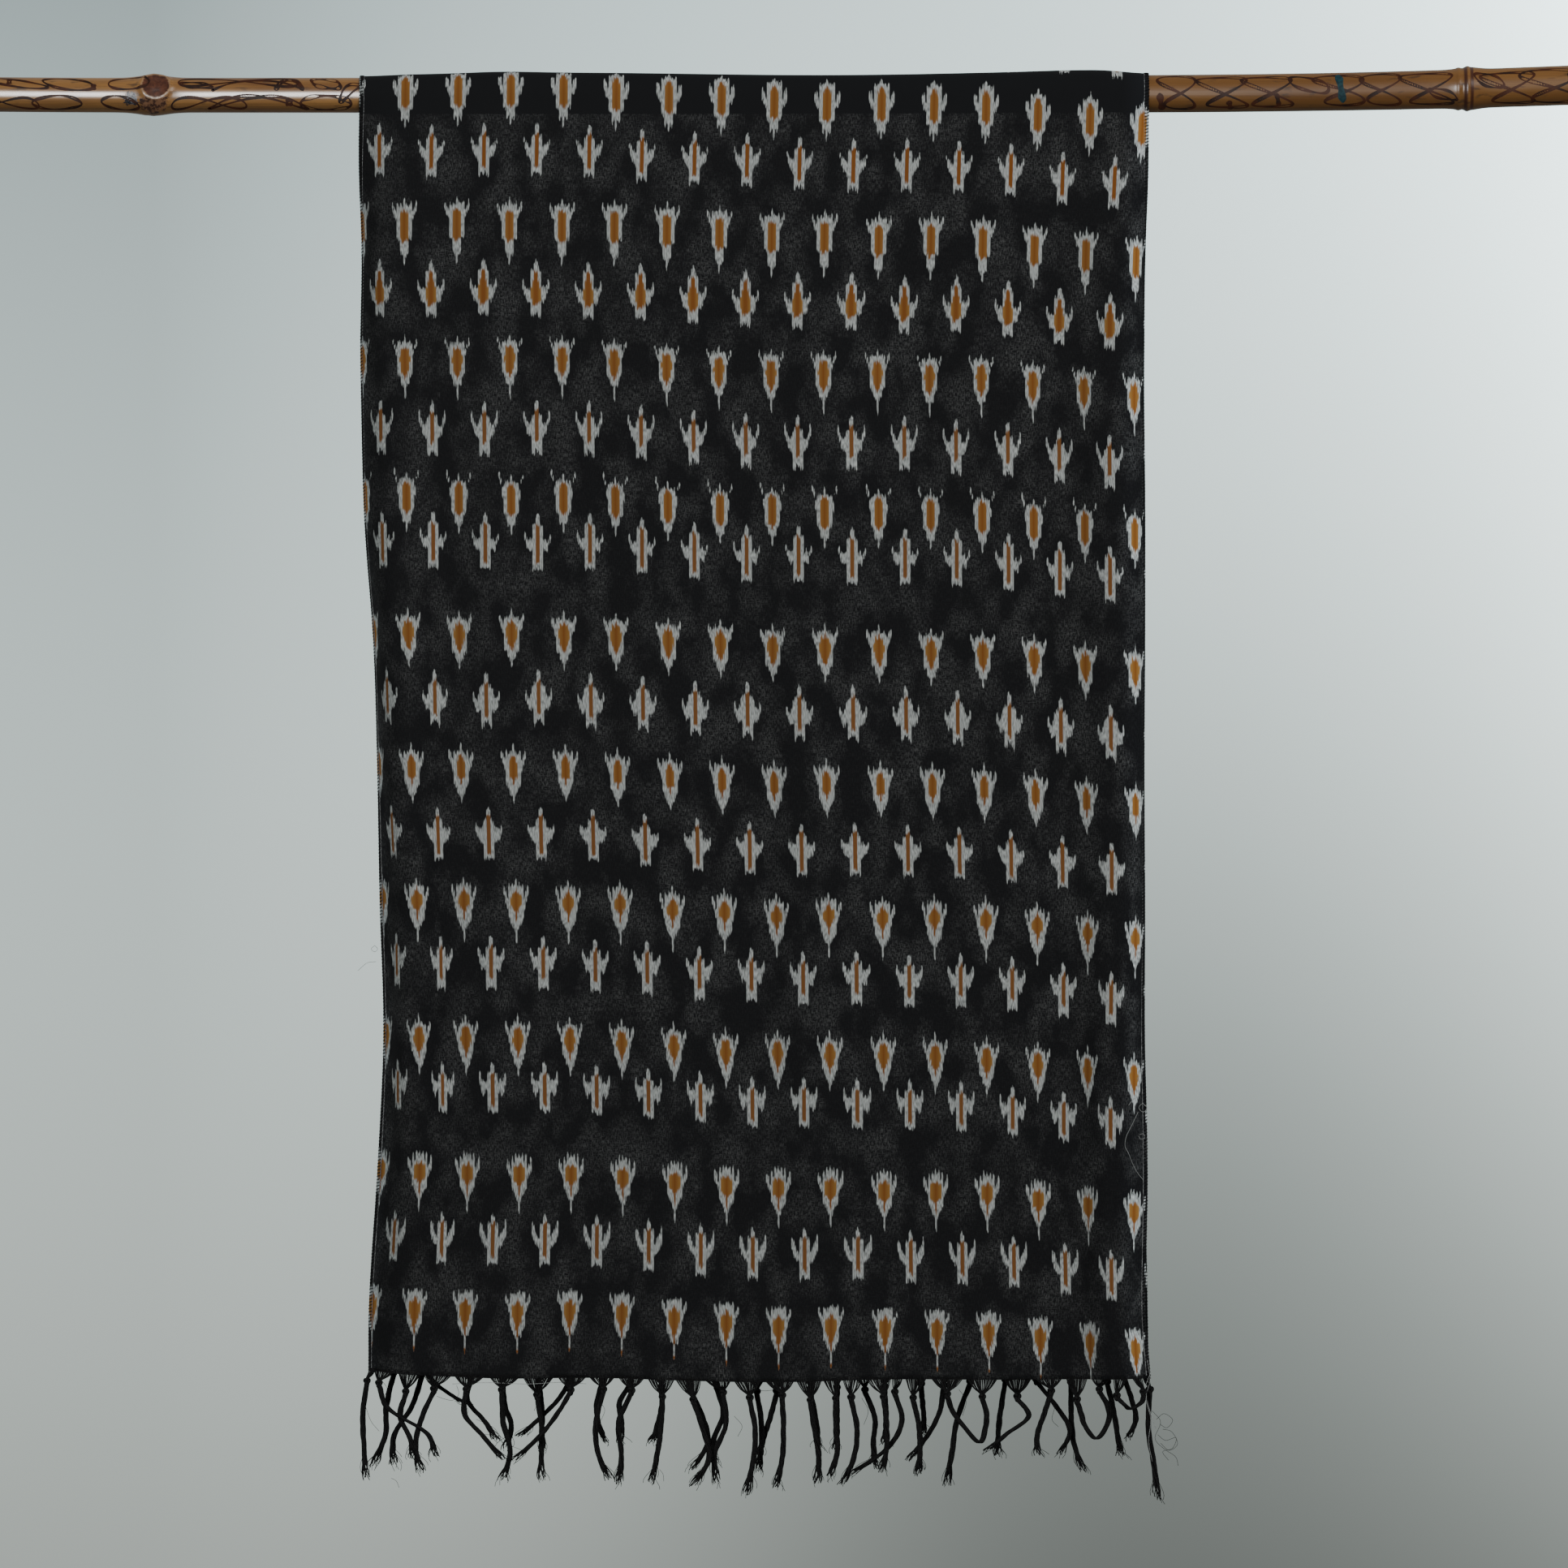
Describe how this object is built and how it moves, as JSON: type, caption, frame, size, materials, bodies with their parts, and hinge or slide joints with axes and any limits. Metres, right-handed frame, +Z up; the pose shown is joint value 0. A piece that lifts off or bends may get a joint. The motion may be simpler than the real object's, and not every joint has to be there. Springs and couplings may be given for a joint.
{
  "type": "ikat stole hung over a bamboo pole",
  "caption": "Black warp-ikat cotton stole with knotted tassels on both hems, folded over a level bamboo pole so that both falls hang side by side.",
  "frame": {"origin": "on the pole's axis at the stole's centre line", "axes": "+X along the pole to the right, +Z up, the stole's front faces -Y"},
  "size_m": [1.22, 0.0672, 1.0212],
  "materials": {
    "cloth": "semi-sheer matt cotton with a woven white and orange ikat pattern",
    "fringe": "matt black cotton yarn",
    "bamboo": "glossy natural skin with scorched marks"
  },
  "bodies": {
    "root": {"pole": "bamboo", "cloth_front": "cloth", "cloth_crest": "cloth", "cloth_back": "cloth", "fringe_front": "fringe", "fringe_back": "fringe"}
  },
  "joints": []
}
